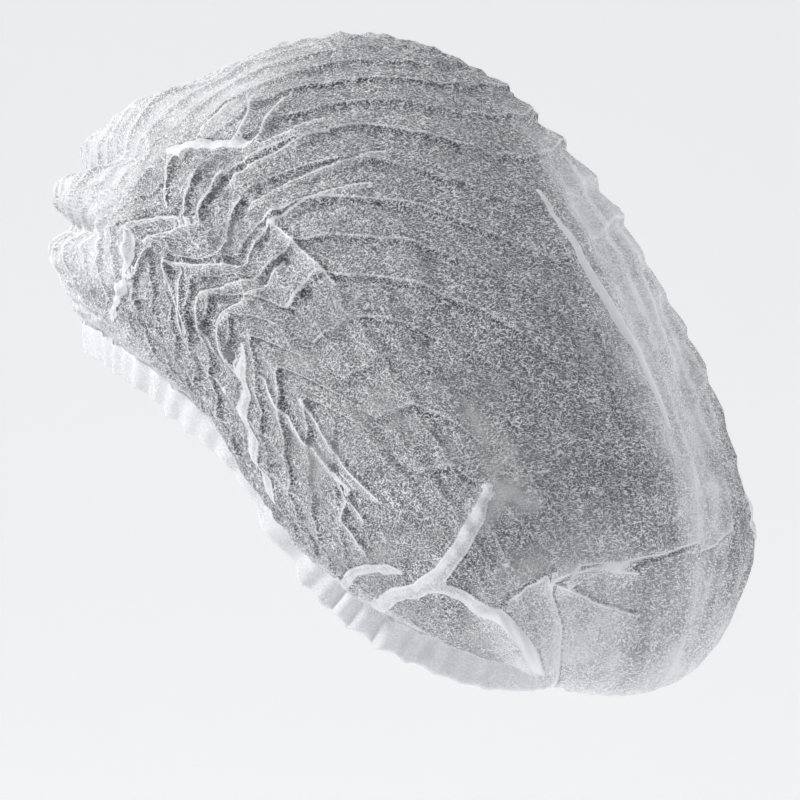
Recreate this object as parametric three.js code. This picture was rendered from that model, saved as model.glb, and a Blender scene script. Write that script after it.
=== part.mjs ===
// Disposable pleated hair cover cap in its worn shape. Millimetres, +Z up, the front faces -Y.
// The origin is the middle of the opening, half way between the front and the back of the rim.
import * as THREE from "three";

// Worn size of the cap
const CAP_WIDTH = 203;
const CAP_HEIGHT = 234; // from the back of the rim to the highest point
const POUCH_REACH = 156; // from the middle of the opening back to the end of the pouch

// The opening that the elastic holds
const OPENING_WIDTH = 156;
const OPENING_LENGTH = 190;
const FRONT_RISE = 122; // the front of the rim lies this much higher than its back
const END_WIDTH = 9.6; // the two pleated ends of the strip are gathered to this width
const RIM_LEAN = 8; // degrees that the hem leans in toward its lower edge
const TUCK_ANGLE = 62; // degrees that the cloth turns under between its widest line and the hem

// Cloth, hem, elastic and end welds
const CLOTH = 1.2;
const PLY = 1.0;
const FIT_GAP = 0.4; // clearance round everything that lies inside the hem
const HEM_HEIGHT = 11;
const CLOTH_EDGE = 6; // the cloth's cut edge lies this far above the fold of the hem
const HEM_EXIT = 13; // the cloth runs straight up to here, then turns outward
const ELASTIC_THICK = 1.0;
const ELASTIC_WIDE = 3.6;
const WELD_THICK = 2.2;
const WELD_DEEP = 3.5;
const WELD_RISE = 14.5; // the foot of each weld above the fold of the hem
const WELD_ROOM = 0.55; // clearance between the top of each weld and the cloth over it

// Gathers and crimps
const HEM_RUFFLE = 1.3; // the hem waves this far in and out
const HEM_SCALLOP = 1.0; // its lower edge waves this far up and down
const SCALLOP_TURN = 1.9; // radians between one column and the next in that up and down wave
const GATHER_RISE = 2.4; // the radiating gathers just above the hem
const GATHER_REACH = 0.5; // share of the half section that the gathers run up
const CHEVRON_SHIFT = 0.3; // share of a row that the pleats zigzag
const BLEND_ROWS = 4; // rows over which the cloth turns from the hem's face to its own

// Grid: columns are counted from front to back, rows from the left rim over the top to the right rim
const COLUMNS = 60;
const ROWS = 34;

// Rise of the rim, as a share of FRONT_RISE, by degrees round: -90 front, 0 left, 90 back
const RIM_RISE = [
  { around: -90, rise: 1 },
  { around: -50, rise: 0.975 },
  { around: -25, rise: 0.925 },
  { around: 0, rise: 0.775 },
  { around: 15, rise: 0.635 },
  { around: 30, rise: 0.345 },
  { around: 45, rise: 0.165 },
  { around: 60, rise: 0.07 },
  { around: 75, rise: 0.015 },
  { around: 90, rise: 0 },
];

// Sections of the cap from the front end (along 0) to the back end (along 1).
// around: where the section leaves the rim, 0 to 1 between the two ends. sideX: share of half CAP_WIDTH.
// sideY, topY: share of POUCH_REACH. sideZ, topZ: share of CAP_HEIGHT. pleat: rise of the pleats in mm.
const SECTIONS = [
  { along: 0, around: 0, sideX: 0.047, sideY: -0.61, sideZ: 0.62, topY: -0.612, topZ: 0.655, pleat: 0 },
  { along: 0.05, around: 0.072, sideX: 0.248, sideY: -0.604, sideZ: 0.632, topY: -0.662, topZ: 0.724, pleat: 1 },
  { along: 0.13, around: 0.171, sideX: 0.492, sideY: -0.521, sideZ: 0.652, topY: -0.625, topZ: 0.836, pleat: 1.8 },
  { along: 0.24, around: 0.28, sideX: 0.753, sideY: -0.39, sideZ: 0.65, topY: -0.438, topZ: 0.887, pleat: 1.6 },
  { along: 0.36, around: 0.408, sideX: 0.93, sideY: -0.177, sideZ: 0.628, topY: -0.17, topZ: 0.957, pleat: 1.3 },
  { along: 0.49, around: 0.535, sideX: 1, sideY: 0.067, sideZ: 0.57, topY: 0.101, topZ: 0.992, pleat: 1.2 },
  { along: 0.61, around: 0.656, sideX: 1.012, sideY: 0.288, sideZ: 0.465, topY: 0.347, topZ: 0.927, pleat: 1.1 },
  { along: 0.72, around: 0.76, sideX: 0.995, sideY: 0.513, sideZ: 0.357, topY: 0.616, topZ: 0.742, pleat: 1.1 },
  { along: 0.82, around: 0.847, sideX: 0.895, sideY: 0.711, sideZ: 0.25, topY: 0.845, topZ: 0.498, pleat: 1.3 },
  { along: 0.9, around: 0.91, sideX: 0.695, sideY: 0.851, sideZ: 0.133, topY: 0.996, topZ: 0.236, pleat: 1.3 },
  { along: 0.96, around: 0.962, sideX: 0.36, sideY: 0.829, sideZ: 0.048, topY: 0.894, topZ: 0, pleat: 0.9 },
  { along: 1, around: 1, sideX: 0.047, sideY: 0.628, sideZ: 0.09, topY: 0.635, topZ: 0.125, pleat: 0 },
];

// Large folds of the worn cap. Each runs from (acrossA, alongA) to (acrossB, alongB); across is 0 along the
// middle line, 1 at the left rim and -1 at the right rim. half (half the width) and rise are in mm.
const FOLDS = [
  { name: "low overlap, upper", acrossA: 0.38, alongA: 0.84, acrossB: 0.6, alongB: 0.862, half: 13, rise: 5 },
  { name: "low overlap, lower", acrossA: 0.6, alongA: 0.862, acrossB: 0.95, alongB: 0.76, half: 14, rise: 6 },
  { name: "low second fold", acrossA: 0.8, alongA: 0.86, acrossB: 0.62, alongB: 0.93, half: 11, rise: 4 },
  { name: "fold over back weld", acrossA: 0.62, alongA: 0.91, acrossB: 0.2, alongB: 0.91, half: 12, rise: 4 },
  { name: "crown middle pleat", acrossA: 0.03, alongA: 0.64, acrossB: -0.06, alongB: 0.85, half: 12, rise: 3.5 },
  { name: "left side flap", acrossA: 0.55, alongA: 0.6, acrossB: 0.8, alongB: 0.67, half: 12, rise: 4 },
  { name: "left front lobe, high", acrossA: 0.25, alongA: 0.14, acrossB: 0.3, alongB: 0.46, half: 17, rise: 5 },
  { name: "left front lobe, mid", acrossA: 0.45, alongA: 0.12, acrossB: 0.5, alongB: 0.4, half: 15, rise: 5 },
  { name: "left front lobe, low", acrossA: 0.62, alongA: 0.14, acrossB: 0.66, alongB: 0.34, half: 13, rise: 4 },
  { name: "left front dip, high", acrossA: 0.36, alongA: 0.12, acrossB: 0.41, alongB: 0.38, half: 11, rise: -5 },
  { name: "left front dip, low", acrossA: 0.54, alongA: 0.12, acrossB: 0.58, alongB: 0.36, half: 10, rise: -5 },
  { name: "front middle lobe", acrossA: 0.02, alongA: 0.1, acrossB: 0.0, alongB: 0.34, half: 16, rise: 4 },
  { name: "right front lobe", acrossA: -0.3, alongA: 0.12, acrossB: -0.34, alongB: 0.42, half: 17, rise: 5 },
  { name: "right front dip", acrossA: -0.46, alongA: 0.12, acrossB: -0.5, alongB: 0.4, half: 12, rise: -4 },
  { name: "right low lobe", acrossA: -0.62, alongA: 0.14, acrossB: -0.66, alongB: 0.4, half: 14, rise: 4 },
  { name: "right low fold", acrossA: -0.4, alongA: 0.84, acrossB: -0.85, alongB: 0.8, half: 14, rise: 5 },
  { name: "right side fold", acrossA: -0.5, alongA: 0.5, acrossB: -0.8, alongB: 0.62, half: 14, rise: 4 },
  { name: "pouch hollow, left", acrossA: 0.3, alongA: 0.78, acrossB: 0.15, alongB: 0.86, half: 18, rise: -3 },
  { name: "pouch hollow, right", acrossA: -0.3, alongA: 0.76, acrossB: -0.2, alongB: 0.87, half: 18, rise: -3 },
];
const FOLD_STEPS = 10;

// Share of each half section between the widest line and the top
const TOP_SHARE = 0.64;
const SLOPE_STEP = 0.002; // share of the grid used to find which way the form faces
const RUN_STEP = 0.05; // degrees used to find which way the rim runs
const DEGREE = Math.PI / 180;
const END_ANGLE = Math.acos(END_WIDTH / OPENING_WIDTH) / DEGREE;

// A smooth curve through one column of a table
function smooth(table, key, value, at) {
  const last = table.length - 1;
  let i = 0;
  while (i < last - 1 && at >= table[i + 1][key]) i += 1;
  const width = (k) => table[k + 1][key] - table[k][key];
  const rate = (k) => (table[k + 1][value] - table[k][value]) / width(k);
  const slope = (k) => {
    if (k === 0) return rate(0);
    if (k === last) return rate(last - 1);
    return (rate(k - 1) * width(k) + rate(k) * width(k - 1)) / (width(k) + width(k - 1));
  };
  const u = (at - table[i][key]) / width(i);
  const rise = u * u * (3 - 2 * u);
  return table[i][value] * (1 - rise) + table[i + 1][value] * rise
    + width(i) * u * (1 - u) * (slope(i) * (1 - u) - slope(i + 1) * u);
}

// A point on the fold of the hem, by degrees round
function rimPoint(around) {
  return new THREE.Vector3(
    (OPENING_WIDTH / 2) * Math.cos(around * DEGREE),
    (OPENING_LENGTH / 2) * Math.sin(around * DEGREE),
    FRONT_RISE * (smooth(RIM_RISE, "around", "rise", around) - 0.5),
  );
}

// The hem's own axes at a place along the rim: out from the opening, and up the cloth
function rimFrame(along) {
  const around = END_ANGLE * (2 * smooth(SECTIONS, "along", "around", along) - 1);
  const point = rimPoint(around);
  const run = rimPoint(around + RUN_STEP).sub(rimPoint(around - RUN_STEP)).normalize();
  const level = new THREE.Vector3(
    Math.cos(around * DEGREE) / OPENING_WIDTH,
    Math.sin(around * DEGREE) / OPENING_LENGTH,
    0,
  ).normalize();
  const rise = level.clone().cross(run);
  const lean = RIM_LEAN * DEGREE;
  const out = level.clone().multiplyScalar(Math.cos(lean)).addScaledVector(rise, -Math.sin(lean));
  const up = rise.clone().multiplyScalar(Math.cos(lean)).addScaledVector(level, Math.sin(lean));
  return { point, out, up };
}

// The smooth form of the cap, across from -1 to 1 and along from 0 to 1
function form(across, along) {
  const share = Math.abs(across);
  const frame = rimFrame(along);
  const exit = frame.point.addScaledVector(frame.up, HEM_EXIT);
  const at = (key) => smooth(SECTIONS, "along", key, along);
  const level = (z) => z * CAP_HEIGHT - FRONT_RISE / 2;
  const side = new THREE.Vector3(
    (at("sideX") * CAP_WIDTH) / 2, at("sideY") * POUCH_REACH, level(at("sideZ")),
  );
  const point = new THREE.Vector3();
  if (share <= TOP_SHARE) {
    const turn = ((share / TOP_SHARE) * Math.PI) / 2;
    const top = new THREE.Vector3(0, at("topY") * POUCH_REACH, level(at("topZ")));
    point.set(side.x * Math.sin(turn), 0, 0);
    point.y = side.y + (top.y - side.y) * Math.cos(turn);
    point.z = side.z + (top.z - side.z) * Math.cos(turn);
  } else {
    const full = TUCK_ANGLE * DEGREE;
    const turn = ((share - TOP_SHARE) / (1 - TOP_SHARE)) * full;
    const width = (Math.cos(turn) - Math.cos(full)) / (1 - Math.cos(full));
    const drop = Math.sin(turn) / Math.sin(full);
    point.set(exit.x + (side.x - exit.x) * width, 0, 0);
    point.y = side.y + (exit.y - side.y) * drop;
    point.z = side.z + (exit.z - side.z) * drop;
  }
  if (across < 0) point.x = -point.x;
  return point;
}

// The direction that the smooth form faces
function facing(across, along) {
  const a = THREE.MathUtils.clamp(across, SLOPE_STEP - 1, 1 - SLOPE_STEP);
  const t = THREE.MathUtils.clamp(along, SLOPE_STEP, 1 - SLOPE_STEP);
  const leftward = form(a + SLOPE_STEP, t).sub(form(a - SLOPE_STEP, t));
  const backward = form(a, t + SLOPE_STEP).sub(form(a, t - SLOPE_STEP));
  return backward.cross(leftward).negate().normalize();
}

// The points that each large fold runs through on the smooth form
const foldLines = FOLDS.map((fold) => {
  const points = [];
  for (let i = 0; i <= FOLD_STEPS; i += 1) {
    const u = i / FOLD_STEPS;
    points.push(form(
      THREE.MathUtils.lerp(fold.acrossA, fold.acrossB, u),
      THREE.MathUtils.lerp(fold.alongA, fold.alongB, u),
    ));
  }
  return { fold, points };
});

// How far the large folds raise the cloth at a point of the smooth form
function foldRise(point) {
  const nearest = new THREE.Vector3();
  let rise = 0;
  for (const { fold, points } of foldLines) {
    let distance = Infinity;
    for (let i = 0; i < FOLD_STEPS; i += 1) {
      new THREE.Line3(points[i], points[i + 1]).closestPointToPoint(point, true, nearest);
      distance = Math.min(distance, nearest.distanceTo(point));
    }
    const share = Math.min(1, distance / fold.half);
    rise += fold.rise * (1 - share * share) ** 2;
  }
  return rise;
}

const alternate = (count) => (count % 2 === 0 ? 1 : -1);
const waves = (along) => Math.sqrt(Math.sin(Math.PI * along));

// The hem's waves at a column: in and out, and up and down
function ruffle(column) {
  const along = column / COLUMNS;
  return {
    out: HEM_RUFFLE * alternate(column) * waves(along),
    up: HEM_SCALLOP * Math.sin(column * SCALLOP_TURN) * waves(along),
  };
}

// A point inside or on the hem: offsets are mm out from its middle and up from its fold
function hemPoint(side, column, outward, upward) {
  const frame = rimFrame(column / COLUMNS);
  const wave = ruffle(column);
  const point = frame.point
    .addScaledVector(frame.out, outward + wave.out)
    .addScaledVector(frame.up, upward + wave.up);
  point.x *= side;
  return point;
}

// One point of the cloth's outer or inner face
function clothPoint(row, column, depth) {
  const fromRim = Math.min(row, ROWS - row);
  const side = row < ROWS / 2 ? 1 : -1;
  if (fromRim < 2) {
    const upward = fromRim === 0 ? CLOTH_EDGE : HEM_EXIT;
    return hemPoint(side, column, CLOTH / 2 - depth, upward);
  }
  const along = column / COLUMNS;
  const inner = ROWS - 2;
  const zigzag = (CHEVRON_SHIFT / inner) * alternate(column) * waves(along);
  const across = 1 - (2 * (row - 1)) / inner + (fromRim > 2 ? zigzag : 0);
  const base = form(across, along);
  const frame = rimFrame(along);
  frame.out.x *= side;
  const turned = Math.min(1, (fromRim - 1) / BLEND_ROWS);
  const face = facing(across, along).lerp(frame.out, (1 - turned) ** 2).normalize();
  const gather = Math.max(0, 1 - (1 - Math.abs(across)) / GATHER_REACH);
  const rise = foldRise(base) * turned
    + smooth(SECTIONS, "along", "pleat", along) * alternate(row) * turned
    + GATHER_RISE * gather * alternate(column) * waves(along);
  return base.addScaledVector(face, rise + CLOTH / 2 - depth);
}

// Collects faces and closes them into one solid
class Faces {
  constructor() {
    this.corners = [];
  }

  quad(a, b, c, d) {
    this.corners.push(a, b, c, a, c, d);
  }

  geometry() {
    const geometry = new THREE.BufferGeometry().setFromPoints(this.corners);
    geometry.computeVertexNormals();
    return geometry;
  }
}

// The pleated cloth: an outer and an inner face on one grid, closed round the edge
function clothGeometry() {
  const sheets = [0, CLOTH].map((depth) => {
    const rows = [];
    for (let row = 0; row <= ROWS; row += 1) {
      rows.push([]);
      for (let column = 0; column <= COLUMNS; column += 1) rows[row].push(clothPoint(row, column, depth));
    }
    return rows;
  });
  const [outer, inner] = sheets;
  const faces = new Faces();
  for (let row = 0; row < ROWS; row += 1) {
    for (let column = 0; column < COLUMNS; column += 1) {
      faces.quad(outer[row][column], outer[row][column + 1], outer[row + 1][column + 1], outer[row + 1][column]);
      faces.quad(inner[row][column], inner[row + 1][column], inner[row + 1][column + 1], inner[row][column + 1]);
    }
    faces.quad(outer[row][0], outer[row + 1][0], inner[row + 1][0], inner[row][0]);
    faces.quad(outer[row + 1][COLUMNS], outer[row][COLUMNS], inner[row][COLUMNS], inner[row + 1][COLUMNS]);
  }
  for (let column = 0; column < COLUMNS; column += 1) {
    faces.quad(outer[0][column + 1], outer[0][column], inner[0][column], inner[0][column + 1]);
    faces.quad(outer[ROWS][column], outer[ROWS][column + 1], inner[ROWS][column + 1], inner[ROWS][column]);
  }
  return faces.geometry();
}

// A ring that follows the whole rim, swept from a profile of [outward, upward] corners
function ringGeometry(profile) {
  const loop = [];
  for (let column = 0; column <= COLUMNS; column += 1) {
    loop.push(profile.map(([outward, upward]) => hemPoint(1, column, outward, upward)));
  }
  for (let column = COLUMNS; column >= 0; column -= 1) {
    loop.push(profile.map(([outward, upward]) => hemPoint(-1, column, outward, upward)));
  }
  const faces = new Faces();
  loop.forEach((section, i) => {
    const next = loop[(i + 1) % loop.length];
    section.forEach((corner, k) => {
      const after = (k + 1) % section.length;
      faces.quad(corner, section[after], next[after], next[k]);
    });
  });
  return faces.geometry();
}

// The folded hem: two plies joined by the fold below, open between them above
const PLY_INSIDE = CLOTH / 2 + FIT_GAP;
const PLY_OUTSIDE = PLY_INSIDE + PLY;
const HEM_PROFILE = [
  [PLY_OUTSIDE, HEM_HEIGHT],
  [PLY_OUTSIDE, PLY],
  [0, 0],
  [-PLY_OUTSIDE, PLY],
  [-PLY_OUTSIDE, HEM_HEIGHT],
  [-PLY_INSIDE, HEM_HEIGHT],
  [-PLY_INSIDE, PLY + FIT_GAP],
  [PLY_INSIDE, PLY + FIT_GAP],
  [PLY_INSIDE, HEM_HEIGHT],
];
const ELASTIC_FOOT = PLY + 2 * FIT_GAP;
const ELASTIC_PROFILE = [
  [ELASTIC_THICK / 2, ELASTIC_FOOT + ELASTIC_WIDE],
  [ELASTIC_THICK / 2, ELASTIC_FOOT],
  [-ELASTIC_THICK / 2, ELASTIC_FOOT],
  [-ELASTIC_THICK / 2, ELASTIC_FOOT + ELASTIC_WIDE],
];

// A welded strip end: a flat upright tab between the two gathered walls
function weldGeometry(along) {
  const inward = along === 0 ? 1 : -1;
  const top = form(0, along);
  const foot = rimFrame(along).point.z + WELD_RISE;
  const tall = top.z - CLOTH / 2 - WELD_ROOM - foot;
  const geometry = new THREE.BoxGeometry(WELD_THICK, WELD_DEEP, tall);
  geometry.translate(0, top.y + inward * (WELD_DEEP / 2), foot + tall / 2);
  return geometry;
}

function piece(name, geometry, color, roughness) {
  const mesh = new THREE.Mesh(geometry, new THREE.MeshStandardMaterial({ color, roughness, metalness: 0 }));
  mesh.name = name;
  return mesh;
}

const cap = new THREE.Group();
cap.add(
  piece("crown_fabric", clothGeometry(), 0xf3f4f5, 0.8),
  piece("rim_hem", ringGeometry(HEM_PROFILE), 0xf7f7f8, 0.78),
  piece("rim_elastic", ringGeometry(ELASTIC_PROFILE), 0xeeeeea, 0.6),
  piece("front_end_weld", weldGeometry(0), 0xfafafa, 0.5),
  piece("back_end_weld", weldGeometry(1), 0xfafafa, 0.5),
);

export default cap;
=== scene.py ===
"""Disposable pleated hair cover cap in its worn shape.

A strip of white nonwoven, pleated lengthwise and welded at both ends, is opened into a dome with a loose
pouch at the back. Its long edges are folded over an elastic band into a ruffled hem.
"""

import logging
import math
from dataclasses import dataclass, replace
from enum import Enum
from typing import Any, Callable, Sequence

import bmesh
import bpy
import numpy as np
from mathutils import Matrix, Vector


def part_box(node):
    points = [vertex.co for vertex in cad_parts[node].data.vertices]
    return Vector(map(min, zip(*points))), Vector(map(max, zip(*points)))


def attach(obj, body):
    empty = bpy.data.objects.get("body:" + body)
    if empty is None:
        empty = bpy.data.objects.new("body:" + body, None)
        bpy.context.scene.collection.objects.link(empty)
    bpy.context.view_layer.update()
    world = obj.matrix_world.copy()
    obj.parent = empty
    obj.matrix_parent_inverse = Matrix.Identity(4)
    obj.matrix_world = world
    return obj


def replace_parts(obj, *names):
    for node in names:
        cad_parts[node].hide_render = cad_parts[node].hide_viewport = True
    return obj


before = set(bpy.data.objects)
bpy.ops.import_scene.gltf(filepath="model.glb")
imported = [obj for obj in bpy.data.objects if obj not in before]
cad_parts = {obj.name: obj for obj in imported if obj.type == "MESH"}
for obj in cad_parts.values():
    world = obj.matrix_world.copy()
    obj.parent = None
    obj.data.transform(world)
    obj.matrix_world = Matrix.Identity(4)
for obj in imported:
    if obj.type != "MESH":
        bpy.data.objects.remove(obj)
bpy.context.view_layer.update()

MM = 0.001
LOG = logging.getLogger("hair_cover_cap")

Array = np.ndarray


# Tables and noise


@dataclass(frozen=True)
class Station:
    """One cross section of the cap, between its front end and its back end.

    around runs from 0 to 1 along one side of the rim. side_x is a share of half the cap's width, side_y and
    top_y of the pouch's reach, and side_z and top_z of the cap's height.
    """

    along: float
    around: float
    side_x: float
    side_y: float
    side_z: float
    top_y: float
    top_z: float


@dataclass(frozen=True)
class RimRise:
    """Height of the rim at a number of degrees round, as a share of its whole rise."""

    around: float
    rise: float


@dataclass(frozen=True)
class Course:
    """One row of a plain two-column table."""

    at: float
    value: float


STATIONS = (
    Station(0.0, 0.0, 0.047, -0.61, 0.62, -0.612, 0.655),
    Station(0.05, 0.072, 0.248, -0.604, 0.632, -0.662, 0.724),
    Station(0.13, 0.171, 0.492, -0.521, 0.652, -0.625, 0.836),
    Station(0.24, 0.28, 0.753, -0.39, 0.65, -0.438, 0.887),
    Station(0.36, 0.408, 0.93, -0.177, 0.628, -0.17, 0.957),
    Station(0.49, 0.535, 1.0, 0.067, 0.57, 0.101, 0.992),
    Station(0.61, 0.656, 1.012, 0.288, 0.465, 0.347, 0.927),
    Station(0.72, 0.76, 0.995, 0.513, 0.357, 0.616, 0.742),
    Station(0.82, 0.847, 0.895, 0.711, 0.25, 0.845, 0.498),
    Station(0.9, 0.91, 0.695, 0.851, 0.133, 0.996, 0.236),
    Station(0.96, 0.962, 0.36, 0.829, 0.048, 0.894, 0.0),
    Station(1.0, 1.0, 0.047, 0.628, 0.09, 0.635, 0.125),
)

RIM_RISE = (
    RimRise(-90, 1.0),
    RimRise(-50, 0.975),
    RimRise(-25, 0.925),
    RimRise(0, 0.775),
    RimRise(15, 0.635),
    RimRise(30, 0.345),
    RimRise(45, 0.165),
    RimRise(60, 0.07),
    RimRise(75, 0.015),
    RimRise(90, 0.0),
)


def curve(table: Sequence[Any], key: str, value: str, at: Array) -> Array:
    """Reads a smooth curve through one column of a table.

    Args:
        table: rows in rising order of key.
        key: name of the column that at is read against.
        value: name of the column to interpolate.
        at: places to read.

    Returns:
        The column's value at each place.
    """
    xs = np.array([getattr(row, key) for row in table], float)
    ys = np.array([getattr(row, value) for row in table], float)
    widths = np.diff(xs)
    rates = np.diff(ys) / widths
    slopes = np.concatenate([
        rates[:1],
        (rates[:-1] * widths[1:] + rates[1:] * widths[:-1]) / (widths[1:] + widths[:-1]),
        rates[-1:],
    ])
    at = np.asarray(at, float)
    i = np.clip(np.searchsorted(xs, at, side="right") - 1, 0, len(xs) - 2)
    u = (at - xs[i]) / widths[i]
    rise = u * u * (3 - 2 * u)
    return (
        ys[i] * (1 - rise)
        + ys[i + 1] * rise
        + widths[i] * u * (1 - u) * (slopes[i] * (1 - u) - slopes[i + 1] * u)
    )


def steps(table: Sequence[Course], at: Array) -> Array:
    """Reads straight lines between the rows of a two-column table.

    Args:
        table: rows in rising order.
        at: places to read.

    Returns:
        The value at each place.
    """
    return np.interp(at, [row.at for row in table], [row.value for row in table])


def unit(vectors: Array) -> Array:
    """Scales each vector to length one.

    Args:
        vectors: an array whose last axis is x, y and z.

    Returns:
        The unit vectors.
    """
    return vectors / np.maximum(np.linalg.norm(vectors, axis=-1, keepdims=True), 1e-12)


def eased(share: Array) -> Array:
    """A smooth step, 0 at 0 or less and 1 at 1 or more.

    Args:
        share: the places to step over.

    Returns:
        The step's height.
    """
    share = np.clip(share, 0, 1)
    return share * share * (3 - 2 * share)


def ridge(phase: Array, peak: float = 0.5) -> Array:
    """A pleat's profile, 0 in the valleys and 1 on the ridges.

    Args:
        phase: the pleat count, one whole number from valley to valley.
        peak: where the ridge stands between two valleys.

    Returns:
        The height as a share of the pleat's rise.
    """
    part = phase % 1.0
    return np.where(part < peak, part / peak, (1 - part) / (1 - peak))


@dataclass(frozen=True)
class Noise:
    """Smooth random values on a lattice, the same ones each time."""

    seed: int
    cells: int = 64

    def at(self, x: Array, y: Array) -> Array:
        """Reads the noise.

        Args:
            x: places across, in cells.
            y: places along, in cells.

        Returns:
            Values from -1 to 1.
        """
        lattice = np.random.default_rng(self.seed).uniform(-1, 1, (self.cells, self.cells))
        i, j = np.floor(x).astype(int), np.floor(y).astype(int)
        u, v = eased(x - i), eased(y - j)
        i, j = i % self.cells, j % self.cells
        k, m = (i + 1) % self.cells, (j + 1) % self.cells
        low = lattice[i, j] * (1 - u) + lattice[k, j] * u
        high = lattice[i, m] * (1 - u) + lattice[k, m] * u
        return low * (1 - v) + high * v

    def each(self, count: Array) -> Array:
        """One random value for each whole number.

        Args:
            count: whole numbers.

        Returns:
            Values from 0 to 1.
        """
        values = np.random.default_rng(self.seed).uniform(0, 1, self.cells)
        return values[np.floor(count).astype(int) % self.cells]


@dataclass(frozen=True)
class Patch:
    """A sheet of noise over the cloth, read as middle + gain * noise and held between least and most.

    across and along are its cells over half the cloth's width and over its length, and start_across and
    start_along shift them.
    """

    seed: int
    across: float
    along: float
    start_across: float = 0
    start_along: float = 0
    middle: float = 0
    gain: float = 1
    least: float = -math.inf
    most: float = math.inf

    def over(self, across: Array, along: Array) -> Array:
        """Reads the sheet.

        Args:
            across: places across.
            along: places along.

        Returns:
            Its values.
        """
        x, y = across * self.across + self.start_across, along * self.along + self.start_along
        return np.clip(self.middle + self.gain * Noise(self.seed).at(x, y), self.least, self.most)


@dataclass(frozen=True)
class RimNoise:
    """Noise along the rim, with a row of its own on each side."""

    seed: int
    pitch: float
    left_row: float
    right_row: float

    def at(self, count: Array, across: Array) -> Array:
        """Reads the noise.

        Args:
            count: the gathers counted from the front end.
            across: negative on the right side.

        Returns:
            Values from -1 to 1.
        """
        return Noise(self.seed).at(count / self.pitch, np.where(across < 0, self.right_row, self.left_row))


@dataclass(frozen=True)
class Wave:
    """One sine of the hem's ruffles: its height as a share, its half turns for each gather and its start."""

    share: float
    turns: float
    start: float

    def at(self, count: Array) -> Array:
        """Reads the wave.

        Args:
            count: the gathers counted from the front end.

        Returns:
            Its height.
        """
        return self.share * np.sin(math.pi * self.turns * count + self.start)


# The cap's smooth form


@dataclass(frozen=True)
class CapSize:
    """Named sizes of the worn cap, in metres and degrees."""

    cap_width: float = 203 * MM
    cap_height: float = 234 * MM
    pouch_reach: float = 156 * MM
    opening_width: float = 156 * MM
    opening_length: float = 190 * MM
    front_rise: float = 122 * MM
    end_width: float = 9.6 * MM
    rim_lean: float = 8
    tuck_angle: float = 62
    top_share: float = 0.64
    hem_exit: float = 13 * MM
    hem_height: float = 11.5 * MM
    straight_run: float = 0.2
    easing: float = 0.16
    easing_taps: int = 7
    turn_step: float = 0.05
    place_step: float = 0.002

    @property
    def end_angle(self) -> float:
        """Degrees round at which each half of the rim meets an end.

        Returns:
            The angle in degrees.
        """
        return math.degrees(math.acos(self.end_width / self.opening_width))


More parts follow.
